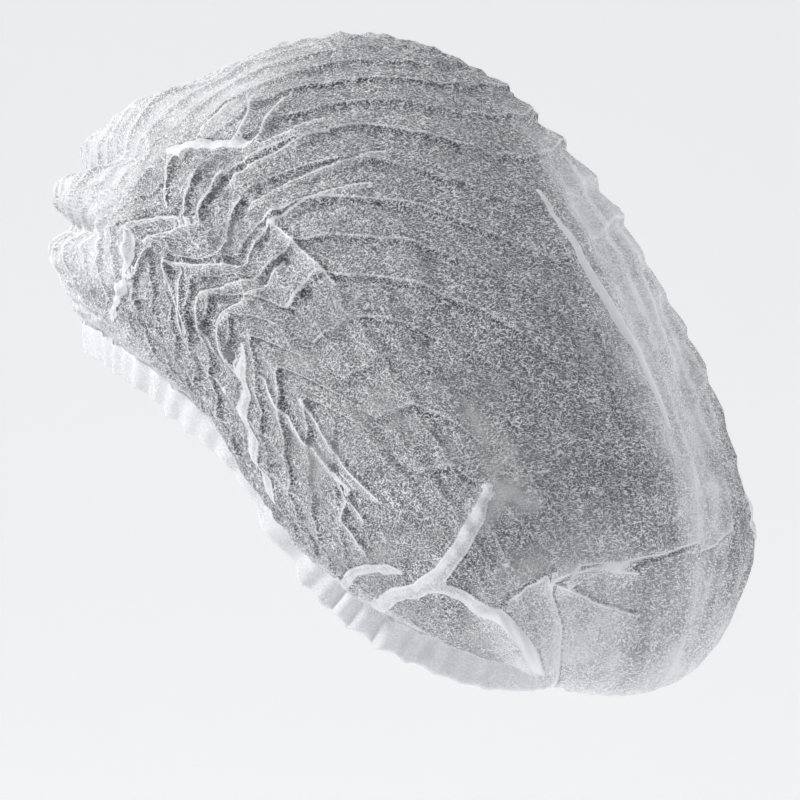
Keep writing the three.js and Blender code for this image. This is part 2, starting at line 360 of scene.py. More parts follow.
class CapForm:
    """The smooth form that the cloth is folded over."""

    def __init__(self, size: CapSize) -> None:
        """Keeps the sizes.

        Args:
            size: the cap's named sizes.
        """
        self.size = size

    def rim_point(self, around: Array) -> Array:
        """Points on the fold of the hem.

        Args:
            around: degrees round from the left side toward the back.

        Returns:
            The points.
        """
        s, turn = self.size, np.radians(around)
        rise = curve(RIM_RISE, "around", "rise", around) - 0.5
        return np.stack([
            s.opening_width / 2 * np.cos(turn),
            s.opening_length / 2 * np.sin(turn),
            s.front_rise * rise,
        ], -1)

    def rim_frame(self, along: Array) -> tuple[Array, Array, Array]:
        """The hem's own axes along the left half of the rim.

        Args:
            along: places from the front end to the back end.

        Returns:
            The points on the fold, the level directions outward and the directions up the cloth.
        """
        s = self.size
        around = s.end_angle * (2 * curve(STATIONS, "along", "around", along) - 1)
        point = self.rim_point(around)
        run = unit(self.rim_point(around + s.turn_step) - self.rim_point(around - s.turn_step))
        turn = np.radians(around)
        level = unit(np.stack([
            np.cos(turn) / s.opening_width, np.sin(turn) / s.opening_length, np.zeros_like(turn),
        ], -1))
        rise = np.cross(level, run)
        lean = math.radians(s.rim_lean)
        out = level * math.cos(lean) - rise * math.sin(lean)
        up = rise * math.cos(lean) + level * math.sin(lean)
        return point, out, up

    def surface(self, across: Array, along: Array) -> Array:
        """Points on the smooth form, eased over its widest line.

        Args:
            across: -1 at the right rim, 0 over the middle and 1 at the left rim; past 1 the cloth runs
                straight down into the hem.
            along: 0 at the front end and 1 at the back end.

        Returns:
            The points.
        """
        share = np.abs(across)
        reach = self.size.easing * np.clip((1 - share) / (1 - self.size.top_share), 0, 1)
        reach = reach * np.clip(share / self.size.top_share, 0, 1)
        taps = np.linspace(-1, 1, self.size.easing_taps)
        return sum(self.plain_surface(across + tap * reach, along) for tap in taps) / len(taps)

    def plain_surface(self, across: Array, along: Array) -> Array:
        """Points on the form before it is eased.

        Args:
            across: -1 at the right rim, 0 over the middle and 1 at the left rim; past 1 the cloth runs
                straight down into the hem.
            along: 0 at the front end and 1 at the back end.

        Returns:
            The points.
        """
        s = self.size
        share = np.abs(across)
        point, _, up = self.rim_frame(along)
        leave = point + up * s.hem_exit

        def column(name: str) -> Array:
            """One column of the stations at these places along.

            Args:
                name: the column's name.

            Returns:
                Its values.
            """
            return curve(STATIONS, "along", name, along)

        side_x = column("side_x") * s.cap_width / 2
        side_y, top_y = column("side_y") * s.pouch_reach, column("top_y") * s.pouch_reach
        side_z = column("side_z") * s.cap_height - s.front_rise / 2
        top_z = column("top_z") * s.cap_height - s.front_rise / 2
        over = np.clip(share / s.top_share, 0, 1) * math.pi / 2
        upper = np.stack([
            side_x * np.sin(over),
            side_y + (top_y - side_y) * np.cos(over),
            side_z + (top_z - side_z) * np.cos(over),
        ], -1)
        full = math.radians(s.tuck_angle)
        under = np.clip((share - s.top_share) / (1 - s.top_share), 0, 1) * full
        width = (np.cos(under) - math.cos(full)) / (1 - math.cos(full))
        drop = np.sin(under) / math.sin(full)
        lower = np.stack([
            leave[..., 0] + (side_x - leave[..., 0]) * width,
            side_y + (leave[..., 1] - side_y) * drop,
            side_z + (leave[..., 2] - side_z) * drop,
        ], -1)
        made = np.where((share <= s.top_share)[..., None], upper, lower)
        made = made - up * (np.clip(share - 1, 0, None) * s.straight_run)[..., None]
        made[..., 0] = np.where(across < 0, -made[..., 0], made[..., 0])
        return made

    def facing(self, across: Array, along: Array) -> Array:
        """Outward directions of the smooth form.

        Args:
            across: places across, as in surface.
            along: places along, as in surface.

        Returns:
            Unit vectors.
        """
        step = self.size.place_step
        a, t = np.clip(across, step - 1, 1 - step), np.clip(along, step, 1 - step)
        over = self.surface(a + step, t) - self.surface(a - step, t)
        back = self.surface(a, t + step) - self.surface(a, t - step)
        return unit(np.cross(over, back))

    def mirrored(self, vectors: Array, across: Array) -> Array:
        """Vectors of the left rim, mirrored for places on the right side.

        Args:
            vectors: vectors found on the left side.
            across: the places that they belong to.

        Returns:
            The vectors on their own side.
        """
        made = vectors.copy()
        made[..., 0] = np.where(across < 0, -made[..., 0], made[..., 0])
        return made


# Folds


class Lay(Enum):
    """How a large fold lies."""

    RAISED = "raised"
    CREASED = "creased"
    LAPPED = "lapped"


@dataclass(frozen=True)
class Fold:
    """A large fold of the worn cap, along a path of (across, along) places.

    half is half its width and rise its height, both in millimetres. A raised fold is soft, a creased one has
    a sharp ridge, and a lapped one is a flat band of doubled cloth with a crease along each side.
    """

    name: str
    lay: Lay
    half: float
    rise: float
    path: tuple[tuple[float, float], ...]


FOLDS = (
    Fold("low overlap", Lay.LAPPED, 2.6, 1.5,
         ((0.353, 0.86), (0.41, 0.868), (0.493, 0.874), (0.593, 0.876), (0.7, 0.868), (0.82, 0.835),
          (0.95, 0.77))),
    Fold("low second overlap", Lay.LAPPED, 2.0, 1.3,
         ((0.66, 0.876), (0.63, 0.882), (0.563, 0.904), (0.5, 0.918), (0.453, 0.93), (0.417, 0.945))),
    Fold("overlap by the hem", Lay.LAPPED, 1.6, 1.0, ((0.93, 0.7), (0.863, 0.762), (0.687, 0.85))),
    Fold("long pleat", Lay.LAPPED, 2.2, 1.2,
         ((-0.03, 0.715), (-0.047, 0.742), (-0.06, 0.778), (-0.08, 0.802), (-0.11, 0.822), (-0.117, 0.85))),
    Fold("side flap", Lay.LAPPED, 1.7, 1.3,
         ((0.573, 0.632), (0.62, 0.638), (0.663, 0.642), (0.707, 0.654), (0.753, 0.666), (0.787, 0.678))),
    Fold("front flap", Lay.LAPPED, 1.7, 1.3, ((0.55, 0.43), (0.603, 0.438), (0.673, 0.422), (0.78, 0.39))),
    Fold("front band", Lay.LAPPED, 1.6, 1.2,
         ((0.4, 0.45), (0.393, 0.466), (0.36, 0.52), (0.335, 0.56))),
    Fold("front band, creased end", Lay.CREASED, 3.0, 2.0,
         ((0.345, 0.548), (0.327, 0.572), (0.28, 0.59), (0.227, 0.6))),
    Fold("jog 1", Lay.CREASED, 3.2, 2.4, ((0.4, 0.462), (0.483, 0.482))),
    Fold("jog 2", Lay.CREASED, 3.2, 2.4, ((0.41, 0.506), (0.48, 0.514))),
    Fold("jog 3", Lay.CREASED, 3.2, 2.6, ((0.4, 0.543), (0.473, 0.538))),
    Fold("jog 4", Lay.CREASED, 3.2, 2.6, ((0.41, 0.58), (0.487, 0.58))),
    Fold("jog 5", Lay.CREASED, 3.2, 2.6, ((0.397, 0.624), (0.473, 0.612))),
    Fold("lower jog 1", Lay.CREASED, 3.2, 2.2, ((0.55, 0.474), (0.633, 0.444))),
    Fold("lower jog 2", Lay.CREASED, 3.4, 2.8, ((0.55, 0.502), (0.66, 0.536))),
    Fold("lower jog 3", Lay.CREASED, 3.4, 2.8, ((0.56, 0.528), (0.65, 0.546))),
    Fold("lower jog 4", Lay.CREASED, 3.4, 2.8, ((0.577, 0.558), (0.632, 0.596))),
    Fold("lower jog 5", Lay.CREASED, 3.4, 2.6, ((0.585, 0.595), (0.625, 0.635))),
    Fold("long crease 1", Lay.CREASED, 3.0, 1.6, ((0.547, 0.404), (0.52, 0.45), (0.477, 0.532))),
    Fold("long crease 2", Lay.CREASED, 3.0, 1.6, ((0.55, 0.462), (0.48, 0.536))),
    Fold("long crease 3", Lay.CREASED, 3.0, 2.0, ((0.56, 0.508), (0.53, 0.55), (0.483, 0.606))),
    Fold("long crease 4", Lay.CREASED, 3.0, 2.0, ((0.573, 0.558), (0.477, 0.63))),
    Fold("long crease 5", Lay.CREASED, 3.0, 2.0, ((0.575, 0.594), (0.477, 0.642), (0.43, 0.65))),
    Fold("upper crease 1", Lay.CREASED, 3.0, 1.8, ((0.41, 0.552), (0.33, 0.585), (0.24, 0.616))),
    Fold("upper crease 2", Lay.CREASED, 3.0, 2.0,
         ((0.41, 0.594), (0.323, 0.624), (0.24, 0.65), (0.19, 0.66))),
    Fold("upper crease 3", Lay.CREASED, 3.0, 1.8, ((0.41, 0.62), (0.323, 0.648), (0.24, 0.672))),
    Fold("top crease 1", Lay.CREASED, 3.2, 2.0, ((0.36, 0.482), (0.285, 0.497))),
    Fold("top crease 2", Lay.CREASED, 3.4, 2.6, ((0.352, 0.542), (0.26, 0.519))),
    Fold("top crease 3", Lay.CREASED, 3.4, 2.4, ((0.335, 0.561), (0.235, 0.553))),
    Fold("crossing crease", Lay.CREASED, 3.0, 1.6, ((0.4, 0.622), (0.393, 0.664), (0.383, 0.7))),
    Fold("side crease", Lay.CREASED, 3.0, 1.6,
         ((0.59, 0.66), (0.613, 0.724), (0.613, 0.764), (0.653, 0.804))),
    Fold("side crease, upper", Lay.CREASED, 3.0, 1.4, ((0.557, 0.716), (0.59, 0.778), (0.587, 0.812))),
    Fold("crimps", Lay.CREASED, 3.0, 2.0,
         ((0.613, 0.764), (0.613, 0.788), (0.66, 0.784), (0.69, 0.782), (0.7, 0.8), (0.717, 0.814))),
    Fold("end crease, left", Lay.CREASED, 3.0, 2.0, ((0.5, 0.912), (0.4, 0.91), (0.313, 0.906))),
    Fold("end crease, middle", Lay.CREASED, 3.0, 2.0, ((0.313, 0.906), (0.157, 0.91), (0.03, 0.912))),
    Fold("end crease, down", Lay.CREASED, 3.0, 2.2, ((0.313, 0.908), (0.29, 0.925), (0.36, 0.955))),
    Fold("end crease, low", Lay.CREASED, 3.0, 1.6, ((0.313, 0.91), (0.157, 0.92), (0.03, 0.924))),
    Fold("end crease, right", Lay.CREASED, 3.0, 1.8,
         ((-0.16, 0.9), (-0.04, 0.906), (0.09, 0.908), (0.267, 0.906))),
    Fold("back crease, high", Lay.CREASED, 3.0, 0.9, ((0.363, 0.864), (0.28, 0.862), (0.187, 0.866))),
    Fold("back crease, low", Lay.CREASED, 3.0, 0.9, ((0.35, 0.858), (0.26, 0.85), (0.19, 0.85))),
    Fold("pouch crease", Lay.CREASED, 3.0, 1.6, ((-0.3, 0.885), (-0.213, 0.9), (-0.16, 0.904))),
    Fold("pouch soft fold", Lay.RAISED, 9.0, 2.5, ((0.31, 0.66), (0.243, 0.712), (0.263, 0.76))),
    Fold("fold over the back weld", Lay.RAISED, 9.0, 4.0, ((0.61, 0.912), (0.41, 0.9), (0.2, 0.91))),
    Fold("front lobe, high", Lay.RAISED, 15, 4.5, ((0.25, 0.13), (0.27, 0.3), (0.3, 0.44))),
    Fold("front lobe, middle", Lay.RAISED, 13, 5.0, ((0.43, 0.11), (0.46, 0.26), (0.49, 0.38))),
    Fold("front lobe, low", Lay.RAISED, 12, 4.0, ((0.61, 0.13), (0.64, 0.24), (0.66, 0.34))),
    Fold("front dip, high", Lay.RAISED, 8, -4.5, ((0.345, 0.11), (0.365, 0.25), (0.4, 0.4))),
    Fold("front dip, low", Lay.RAISED, 7, -4.5, ((0.53, 0.12), (0.55, 0.24), (0.575, 0.36))),
    Fold("front middle lobe", Lay.RAISED, 15, 4.5, ((0.02, 0.09), (0.01, 0.2), (0.0, 0.34))),
    Fold("front middle dip", Lay.RAISED, 8, -4.0, ((0.14, 0.1), (0.15, 0.22), (0.17, 0.34))),
    Fold("right front lobe", Lay.RAISED, 16, 6.0, ((-0.28, 0.12), (-0.31, 0.28), (-0.35, 0.42))),
    Fold("right front dip", Lay.RAISED, 9, -6.0, ((-0.45, 0.11), (-0.48, 0.26), (-0.52, 0.42))),
    Fold("right low lobe", Lay.RAISED, 13, 5.0, ((-0.61, 0.13), (-0.64, 0.28), (-0.68, 0.42))),
    Fold("right low overlap", Lay.LAPPED, 2.4, 1.4,
         ((-0.4, 0.86), (-0.6, 0.87), (-0.74, 0.85), (-0.9, 0.8))),
    Fold("right side overlap", Lay.LAPPED, 1.8, 1.2, ((-0.48, 0.48), (-0.62, 0.52), (-0.8, 0.6))),
    Fold("pouch hollow, left", Lay.RAISED, 18, -3.0, ((0.3, 0.76), (0.15, 0.86))),
    Fold("pouch hollow, right", Lay.RAISED, 18, -3.0, ((-0.3, 0.74), (-0.2, 0.87))),
)
MARK_REACH = 8.0  # millimetres from a fold that its marks are kept
LAP_SLOPE = 2.4 * MM  # how far the edge of a lapped fold takes to come up


@dataclass(frozen=True)
class Slack:
    """A stretch of loose, doubled cloth, whiter than the cloth that is drawn tight.

    across and along are its middle, half_across and half_along how far it reaches, share how loose it is.
    """

    name: str
    across: float
    along: float
    half_across: float
    half_along: float
    share: float


SLACKS = (
    Slack("front", 0.1, 0.2, 1.5, 0.33, 0.8),
    Slack("back, beside the long pleat", -0.2, 0.8, 0.2, 0.2, 0.9),
    Slack("pouch end", -0.1, 1.02, 1.1, 0.155, 1.0),
    Slack("by the left hem", 1.0, 0.6, 0.16, 0.8, 0.5),
    Slack("by the right hem", -1.0, 0.6, 0.16, 0.8, 0.5),
)

# Where the crosswise creases run: how far they shift along at each place across
CREASE_SHIFT = (
    Course(0.0, 0.17),
    Course(0.15, 0.13),
    Course(0.25, 0.085),
    Course(0.4, 0.015),
    Course(0.475, 0.0),
    Course(0.55, -0.1),
    Course(0.62, -0.094),
    Course(0.8, -0.06),
    Course(1.0, -0.04),
)
# Strength of the crosswise creases, along and across
CREASE_ALONG = (
    Course(0.03, 0.1),
    Course(0.15, 0.7),
    Course(0.35, 1.0),
    Course(0.62, 1.0),
    Course(0.7, 0.8),
    Course(0.85, 0.45),
    Course(1.0, 0.1),
)
CREASE_ACROSS = (
    Course(0.0, 0.22),
    Course(0.25, 0.6),
    Course(0.4, 0.75),
    Course(0.62, 0.8),
    Course(0.85, 0.6),
    Course(1.0, 0.2),
)
# Strength of the lengthwise pleats, along and across
PLEAT_ALONG = (
    Course(0.0, 0.1),
    Course(0.06, 0.8),
    Course(0.15, 1.0),
    Course(0.3, 0.6),
    Course(0.5, 0.65),
    Course(0.7, 0.85),
    Course(0.88, 0.9),
    Course(0.96, 1.0),
    Course(1.0, 0.2),
)
PLEAT_ACROSS = (
    Course(0.0, 1.0),
    Course(0.4, 0.8),
    Course(0.8, 1.0),
    Course(1.0, 0.1),
)


# Noise that the small folds wander with
DRIFT = Patch(1, 6, 9, start_across=20, gain=0.35)
FINE_DRIFT = Patch(2, 15, 22, start_across=20, gain=0.12)
CREASE_PATCHES = Patch(4, 5, 6, start_across=9, middle=0.9, gain=0.6, least=0.4, most=1.3)
ZIGZAG_PATCHES = Patch(5, 4, 7, start_across=3, middle=0.6, least=0, most=1.4)
PLEAT_BEND = Patch(6, 5, 5, start_across=14, gain=0.5)
PLEAT_PATCHES = Patch(8, 7, 5, start_across=7, start_along=3, middle=0.7, gain=0.8, least=0.1, most=1.3)
CRUMPLES = (Patch(21, 24, 30, start_across=9, gain=0.45), Patch(22, 50, 60, gain=0.27))
CRUMPLE_RIDGES = Patch(23, 13, 17, start_across=5, gain=2)
SLACK_EDGES = (Patch(31, 4, 6, start_across=8, gain=0.22), Patch(32, 11, 14, start_across=8, gain=0.1))
LEFT_CREASES, RIGHT_CREASES, PLEAT_HEIGHTS = Noise(3), Noise(9), Noise(7)
GATHER_DRIFT = RimNoise(11, 4.5, left_row=3.5, right_row=9.5)
RUFFLE_HEIGHTS = RimNoise(12, 3.1, left_row=1.5, right_row=5.5)
RUFFLES = (Wave(0.75, 1.0, 0.0), Wave(0.45, 0.57, 1.3))
SCALLOPS = Wave(1.0, 0.4, 0.4)


@dataclass
class Folded:
    """The folded cloth: its points, and named marks for the finish."""

    points: Array
    marks: dict[str, Array]


@dataclass(frozen=True)
class FoldSize:
    """Counts, heights and shares of the folds, heights in metres."""

    crease_pitch: float = 0.036
    crease_rise: float = 5.0 * MM
    crease_peak: float = 0.78
    crease_start: int = 40
    crease_least: float = 0.45
    crease_spread: float = 0.75
    middle_round: float = 0.06
    side_blend: float = 6
    pleats: int = 17
    pleat_rise: float = 3.9 * MM
    pleat_start: int = 50
    pleat_least: float = 0.4
    pleat_spread: float = 0.8
    zigzag_pitch: float = 0.03
    zigzag: float = 0.3
    zigzag_end: float = 0.9
    zigzag_fade: float = 4
    crumple: float = 0.9 * MM
    crumple_sharp: float = 0.7
    slack_edge: float = 1.9
    gathers: int = 66
    gather_rise: float = 3.0 * MM
    gather_reach: float = 0.34
    gather_power: float = 1.5
    gather_wander: float = 1.1
    gather_white: float = 0.35
    gather_wave_white: float = 0.5
    ruffle: float = 2.2 * MM
    scallop: float = 2.4 * MM
    ruffle_least: float = 0.55
    ruffle_spread: float = 0.45
    ruffle_ends: float = 0.5
    fold_ends: float = 0.4
    free_edge: float = 0.16
    rim_edge: float = 0.08
    path_steps: int = 8
    path_room: float = 5
    end_taper: float = 7
    end_share: float = 0.25
    end_slim: float = 0.3
    end_force: float = 4
    past_end: float = 2
    crease_sharp: float = 1.4
    mark_least: float = 0.6
    mark_gain: float = 0.25


class Folding:
    """Folds the smooth form: pleats, creases, gathers, overlaps and crumples."""

    def __init__(self, form: CapForm, size: FoldSize) -> None:
        """Keeps the form and the sizes.

        Args:
            form: the smooth form.
            size: counts, heights and shares of the folds.
        """
        self.form = form
        self.size = size

    def gathers(self, along: Array, across: Array) -> Array:
        """Counts the gathers from the front end.

        Args:
            along: places along one half of the rim.
            across: negative on the right side.

        Returns:
            The count, two for each wave.
        """
        count = self.size.gathers * curve(STATIONS, "along", "around", along)
        return count + self.size.gather_wander * GATHER_DRIFT.at(count, across)

    def ruffle(self, along: Array, across: Array) -> tuple[Array, Array]:
        """The hem's waves.

        Args:
            along: places along one half of the rim.
            across: negative on the right side.

        Returns:
            How far the hem waves out, and how far its lower edge waves up.
        """
        s = self.size
        count = self.gathers(along, across)
        ends = np.sin(math.pi * np.clip(along, 0, 1)) ** s.ruffle_ends
        tall = s.ruffle_least + s.ruffle_spread * RUFFLE_HEIGHTS.at(count, across)
        wave = sum(row.at(count) for row in RUFFLES) * tall
        edge = np.abs(SCALLOPS.at(count)) * tall
        return s.ruffle * wave * ends, s.scallop * edge * ends

    def creases(self, across: Array, along: Array, drift: Array) -> tuple[Array, Array]:
        """The crosswise creases.

        Args:
            across: places across.
            along: places along.
            drift: how far they wander, as a share of their pitch.

        Returns:
            Their count and their force.
        """
        s = self.size
        left = np.clip(across * s.side_blend + 0.5, 0, 1)
        shift = steps(CREASE_SHIFT, np.hypot(across, s.middle_round))
        count = (along - shift) / s.crease_pitch + drift + s.crease_start
        each = LEFT_CREASES.each(count) * left + RIGHT_CREASES.each(count) * (1 - left)
        strength = steps(CREASE_ALONG, along) * steps(CREASE_ACROSS, np.abs(across))
        own = s.crease_least + s.crease_spread * each
        return count, strength * own * CREASE_PATCHES.over(across, along)

    def pleats(self, across: Array, along: Array, drift: Array) -> tuple[Array, Array]:
        """The lengthwise pleats, bent in zigzags.

        Args:
            across: places across.
            along: places along.
            drift: how far the zigzags wander.

        Returns:
            Their count and their force.
        """
        s = self.size
        zigzag = s.zigzag * (2 * ridge(along / s.zigzag_pitch + 0.2 * drift) - 1)
        zigzag = zigzag * ZIGZAG_PATCHES.over(across, along)
        zigzag = zigzag * np.clip(s.zigzag_fade * (s.zigzag_end - along), 0, 1)
        count = across * s.pleats + zigzag + PLEAT_BEND.over(across, along) + s.pleat_start
        strength = steps(PLEAT_ALONG, along) * steps(PLEAT_ACROSS, np.abs(across))
        own = s.pleat_least + s.pleat_spread * PLEAT_HEIGHTS.each(count)
        return count, strength * own * PLEAT_PATCHES.over(across, along)

    def slack(self, across: Array, along: Array) -> Array:
        """How loose the cloth is.

        Args:
            across: places across.
            along: places along.

        Returns:
            Values from 0, drawn tight, to 1.
        """
        wander = sum(edge.over(across, along) for edge in SLACK_EDGES)
        loose = np.zeros_like(across)
        for row in SLACKS:
            far = np.hypot((across - row.across) / row.half_across, (along - row.along) / row.half_along)
            loose = np.maximum(loose, row.share * eased(self.size.slack_edge * (1 - far - wander)))
        return loose

    def small(self, across: Array, along: Array) -> tuple[Array, dict[str, Array]]:
        """Heights of the small folds over the smooth form.

        Args:
            across: places across.
            along: places along.

        Returns:
            The heights, and marks with the count and force of both families of folds and the slack.
        """
        s = self.size
        drift = DRIFT.over(across, along) + FINE_DRIFT.over(across, along)
        cross, cross_force = self.creases(across, along, drift)
        lane, lane_force = self.pleats(across, along, drift)
        sharp = 1 - np.abs(CRUMPLE_RIDGES.over(across, along))
        crumple = sum(patch.over(across, along) for patch in CRUMPLES) + s.crumple_sharp * sharp
        height = (
            s.crease_rise * cross_force * (ridge(cross, s.crease_peak) - 0.5)
            + s.pleat_rise * lane_force * (ridge(lane) - 0.5)
            + s.crumple * crumple
        )
        return height, {
            "cross": cross, "cross_force": cross_force, "lane": lane, "lane_force": lane_force,
            "slack": self.slack(across, along),
        }

    def beside(self, path: Array, points: Array, facing: Array) -> tuple[Array, Array, Array]:
        """Finds where points lie beside a path.

        Args:
            path: the path's points.
            points: points of the smooth form.
            facing: its outward directions there.

        Returns:
            The distances to the path, the distances to one side of it, and the share of the path passed.
        """
        best, signed, done = np.full(len(points), np.inf), np.zeros(len(points)), np.zeros(len(points))
        lengths = np.linalg.norm(np.diff(path, axis=0), axis=1)
        whole, before = lengths.sum(), 0.0
        for a, b, length in zip(path[:-1], path[1:], lengths):
            run = (b - a) / length
            share = np.clip((points - a) @ run, 0, length)
            away = points - a - share[:, None] * run
            far = np.linalg.norm(away, axis=1)
            closer = far < best
            best = np.where(closer, far, best)
            signed = np.where(closer, (away * unit(np.cross(facing, run))).sum(1), signed)
            done = np.where(closer, (before + share) / whole, done)
            before += length
        return best, signed, done

    def large(self, base: Array, facing: Array) -> tuple[Array, dict[str, Array]]:
        """Heights of the large folds.

        Args:
            base: points of the smooth form.
            facing: its outward directions.

        Returns:
            The heights, and marks with the side, half width and nearness of the nearest sharp fold.
        """
        s = self.size
        height, side_mark, half_mark, near_mark = (np.zeros(len(base)) for _ in range(4))
        nearest = np.full(len(base), np.inf)
        for fold in FOLDS:
            places = np.array(fold.path)
            rows = range(len(places))
            fine = np.linspace(0, rows[-1], s.path_steps * rows[-1] + 1)
            across, along = (np.interp(fine, rows, places[:, i]) for i in (0, 1))
            path = self.form.surface(across, along)
            half = fold.half * MM
            room = s.path_room * half
            near = np.nonzero(((base > path.min(0) - room) & (base < path.max(0) + room)).all(1))[0]
            best, signed, done = self.beside(path, base[near], facing[near])
            beyond = np.sqrt(np.maximum(best**2 - signed**2, 0))
            taper = s.end_share + (1 - s.end_share) * eased(np.minimum(done, 1 - done) * s.end_taper)
            taper = taper * np.clip(1 - beyond / (s.past_end * half), 0, 1)
            flat_half = np.zeros(len(near))
            if fold.lay is Lay.LAPPED:
                flat_half = half * (s.end_slim + (1 - s.end_slim) * taper)
                top = eased((flat_half - best) / LAP_SLOPE + 0.5)
                height[near] += fold.rise * MM * top * np.clip(s.end_force * taper, 0, 1)
            else:
                bump = np.clip(1 - np.abs(signed) / half, 0, 1)
                soft = eased(bump) if fold.lay is Lay.RAISED else bump**s.crease_sharp
                height[near] += fold.rise * MM * soft * taper
            if fold.lay is not Lay.RAISED:
                outside = best - flat_half
                force = np.clip(s.end_force * taper, 0, min(1.0, s.mark_least + s.mark_gain * fold.rise))
                closer = outside < nearest[near]
                chosen = near[closer]
                nearest[chosen] = outside[closer]
                side_mark[chosen] = signed[closer] / MM
                half_mark[chosen] = flat_half[closer] / MM
                near_mark[chosen] = ((MARK_REACH - outside / MM) * force)[closer]
        return height, {"fold_side": side_mark, "fold_half": half_mark, "fold_near": near_mark}

    def cloth(self, across: Array, along: Array) -> Folded:
        """The folded cloth at the given places.

        Args:
            across: places across, one flat array.
            along: places along, the same length.

        Returns:
            The folded cloth.
        """
        s, form = self.size, self.form
        inside = 1 - np.abs(across)
        base = form.surface(across, along)
        facing = form.facing(across, along)
        _, out, up = form.rim_frame(along)
        out, up = form.mirrored(out, across), form.mirrored(up, across)
        free = eased(inside / s.free_edge)
        facing = unit(out + (facing - out) * free[:, None])
        height, marks = self.small(across, along)
        tall, pressed = self.large(base, facing)
        wave, lift = self.ruffle(along, across)
        reach = np.clip(1 - inside / s.gather_reach, 0, 1)
        near_rim = np.clip(1 - inside / s.rim_edge, 0, 1)
        gather = wave / s.ruffle * s.gather_rise * reach**s.gather_power
        gather = gather * (1 - near_rim) + wave * near_rim
        ends = np.sin(math.pi * np.clip(along, 0, 1)) ** s.fold_ends
        rise = (height * ends + tall) * free + gather
        points = base + facing * rise[:, None] + up * (lift * near_rim)[:, None]
        white = s.gather_white + s.gather_wave_white * np.abs(wave) / s.ruffle
        marks.update(pressed, crease=reach**2 * white)
        marks.update({"gather": self.gathers(along, across) / 2, "gather_force": reach**2})
        return Folded(points, marks)


# Shader maths


class Tree:
    """A material's node tree."""

    def __init__(self, name: str) -> None:
        """Makes an empty material.

        Args:
            name: the material's name.
        """
        self.material = bpy.data.materials.new(name)
        self.material.use_nodes = True
        self.tree = self.material.node_tree
        self.tree.nodes.clear()

    def node(self, kind: str, settings: dict[str, Any] | None = None, **inputs: Any) -> Any:
        """Adds a node.

        Args:
            kind: the node's type.
            settings: its properties.
            **inputs: values or Value objects for its sockets, with _ for a space.

        Returns:
            The node.
        """
        made = self.tree.nodes.new(kind)
        for key, value in (settings or {}).items():
            setattr(made, key, value)
        for key, value in inputs.items():
            self.feed(made.inputs[key.replace("_", " ")], value)
        return made

    def feed(self, socket: Any, value: Any) -> None:
        """Sets or links a socket.

        Args:
            socket: the input socket.
            value: a plain value, or a Value to link.
        """
        if isinstance(value, Value):
            self.tree.links.new(value.socket, socket)
        else:
            socket.default_value = value

    def out(self, node: Any, name: str = "") -> "Value":
        """Wraps a node's output.

        Args:
            node: the node.
            name: the output's name, or nothing for the first.

        Returns:
            The wrapped socket.
        """
        return Value(self, node.outputs[name] if name else node.outputs[0])

    def mark(self, name: str) -> "Value":
        """Reads a mark that was stored on the piece's corners.

        Args:
            name: the mark's name.

        Returns:
            Its value.
        """
        return self.out(self.node("ShaderNodeAttribute", {"attribute_name": name}), "Fac")

    def mix(self, share: Any, low: Any, high: Any) -> "Value":
        """Mixes two colours.

        Args:
            share: how much of the second colour.
            low: the first colour.
            high: the second colour.

        Returns:
            The mixed colour.
        """
        made = self.node("ShaderNodeMix", {"data_type": "RGBA"})
        for socket, value in ((0, share), (6, low), (7, high)):
            self.feed(made.inputs[socket], value)
        return Value(self, made.outputs[2])

    def blend(self, share: Any, low: Any, high: Any) -> Any:
        """Blends two shaders.

        Args:
            share: how much of the second one.
            low: the first shader's node.
            high: the second shader's node.

        Returns:
            The Mix Shader node.
        """
        made = self.node("ShaderNodeMixShader", Fac=share)
        self.feed(made.inputs[1], self.out(low))
        self.feed(made.inputs[2], self.out(high))
        return made


